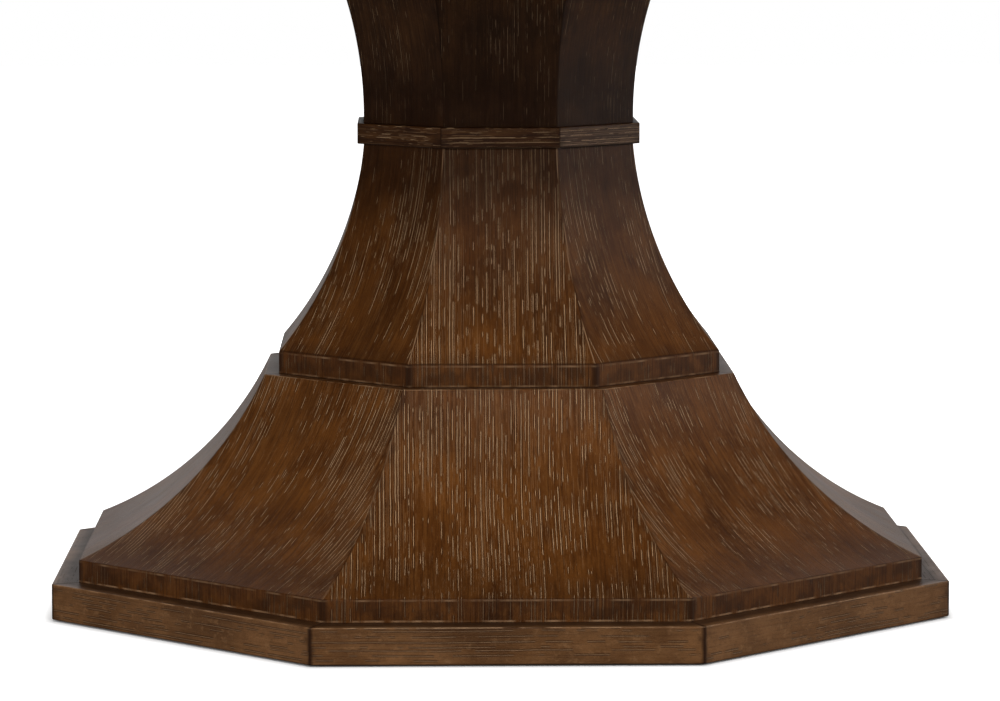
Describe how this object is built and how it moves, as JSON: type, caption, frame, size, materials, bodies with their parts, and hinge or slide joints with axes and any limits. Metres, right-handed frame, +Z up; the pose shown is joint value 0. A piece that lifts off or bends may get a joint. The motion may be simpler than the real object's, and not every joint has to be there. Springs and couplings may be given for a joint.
{
  "type": "round pedestal table",
  "caption": "Round dining table on an octagonal oak pedestal of stacked, concave flared tiers over a low mitred plinth, with screw-adjusted levelling glides.",
  "frame": {"origin": "on the floor, on the pedestal's axis, midway across the table", "axes": "+Z up along the pedestal's axis; -Y square out of the pedestal's front face"},
  "size_m": [1.5236, 1.5236, 0.762],
  "materials": {
    "limed_oak": "brown-stained, wire-brushed oak with pale limed pores under a satin lacquer",
    "plywood": "raw birch plywood, sanded",
    "beech": "raw sawn beech",
    "zinc_steel": "bright zinc plate",
    "nylon": "moulded black nylon"
  },
  "bodies": {
    "table": {"plinth_board_1": "limed_oak", "lower_flare_panel_1": "limed_oak", "upper_flare_panel_1": "limed_oak", "collar_strip_1": "limed_oak", "column_panel_1": "limed_oak", "plinth_board_2": "limed_oak", "lower_flare_panel_2": "limed_oak", "upper_flare_panel_2": "limed_oak", "collar_strip_2": "limed_oak", "column_panel_2": "limed_oak", "plinth_board_3": "limed_oak", "lower_flare_panel_3": "limed_oak", "upper_flare_panel_3": "limed_oak", "collar_strip_3": "limed_oak", "column_panel_3": "limed_oak", "plinth_board_4": "limed_oak", "lower_flare_panel_4": "limed_oak", "upper_flare_panel_4": "limed_oak", "collar_strip_4": "limed_oak", "column_panel_4": "limed_oak", "plinth_board_5": "limed_oak", "lower_flare_panel_5": "limed_oak", "upper_flare_panel_5": "limed_oak", "collar_strip_5": "limed_oak", "column_panel_5": "limed_oak", "plinth_board_6": "limed_oak", "lower_flare_panel_6": "limed_oak", "upper_flare_panel_6": "limed_oak", "collar_strip_6": "limed_oak", "column_panel_6": "limed_oak", "plinth_board_7": "limed_oak", "lower_flare_panel_7": "limed_oak", "upper_flare_panel_7": "limed_oak", "collar_strip_7": "limed_oak", "column_panel_7": "limed_oak", "plinth_board_8": "limed_oak", "lower_flare_panel_8": "limed_oak", "upper_flare_panel_8": "limed_oak", "collar_strip_8": "limed_oak", "column_panel_8": "limed_oak", "base_panel": "plywood", "ledge_former": "plywood", "waist_block": "plywood", "column_head_former": "plywood", "corner_cleats": "beech", "mounting_plate": "limed_oak", "plate_screws": "zinc_steel", "top_bolts": "zinc_steel", "top_inserts": "zinc_steel", "top_core": "limed_oak", "top_lipping": "limed_oak", "glide_sockets": "zinc_steel"},
    "glide_pad_1": {"glide_pad_1": "nylon"},
    "glide_stem_1": {"glide_stem_1": "zinc_steel"},
    "glide_pad_2": {"glide_pad_2": "nylon"},
    "glide_stem_2": {"glide_stem_2": "zinc_steel"},
    "glide_pad_3": {"glide_pad_3": "nylon"},
    "glide_stem_3": {"glide_stem_3": "zinc_steel"},
    "glide_pad_4": {"glide_pad_4": "nylon"},
    "glide_stem_4": {"glide_stem_4": "zinc_steel"}
  },
  "joints": [
    {"name": "glide_1_lift", "type": "slide", "parent": "table", "child": "glide_pad_1", "axis": [0, 0, -1], "range_m": [0, 0.012]},
    {"name": "glide_1_turn", "type": "hinge", "parent": "glide_pad_1", "child": "glide_stem_1", "pos_m": [0.30936, -0.30936, 0.006], "axis": [0, 0, -1], "range_deg": [0, 2882]},
    {"name": "glide_2_lift", "type": "slide", "parent": "table", "child": "glide_pad_2", "axis": [0, 0, -1], "range_m": [0, 0.012]},
    {"name": "glide_2_turn", "type": "hinge", "parent": "glide_pad_2", "child": "glide_stem_2", "pos_m": [0.30936, 0.30936, 0.006], "axis": [0, 0, -1], "range_deg": [0, 2882]},
    {"name": "glide_3_lift", "type": "slide", "parent": "table", "child": "glide_pad_3", "axis": [0, 0, -1], "range_m": [0, 0.012]},
    {"name": "glide_3_turn", "type": "hinge", "parent": "glide_pad_3", "child": "glide_stem_3", "pos_m": [-0.30936, 0.30936, 0.006], "axis": [0, 0, -1], "range_deg": [0, 2882]},
    {"name": "glide_4_lift", "type": "slide", "parent": "table", "child": "glide_pad_4", "axis": [0, 0, -1], "range_m": [0, 0.012]},
    {"name": "glide_4_turn", "type": "hinge", "parent": "glide_pad_4", "child": "glide_stem_4", "pos_m": [-0.30936, -0.30936, 0.006], "axis": [0, 0, -1], "range_deg": [0, 2882]}
  ],
  "couplings": [
    {"joint": "glide_1_turn", "follows": "glide_1_lift", "rad_per_m": 4188.8},
    {"joint": "glide_2_turn", "follows": "glide_2_lift", "rad_per_m": 4188.8},
    {"joint": "glide_3_turn", "follows": "glide_3_lift", "rad_per_m": 4188.8},
    {"joint": "glide_4_turn", "follows": "glide_4_lift", "rad_per_m": 4188.8}
  ]
}
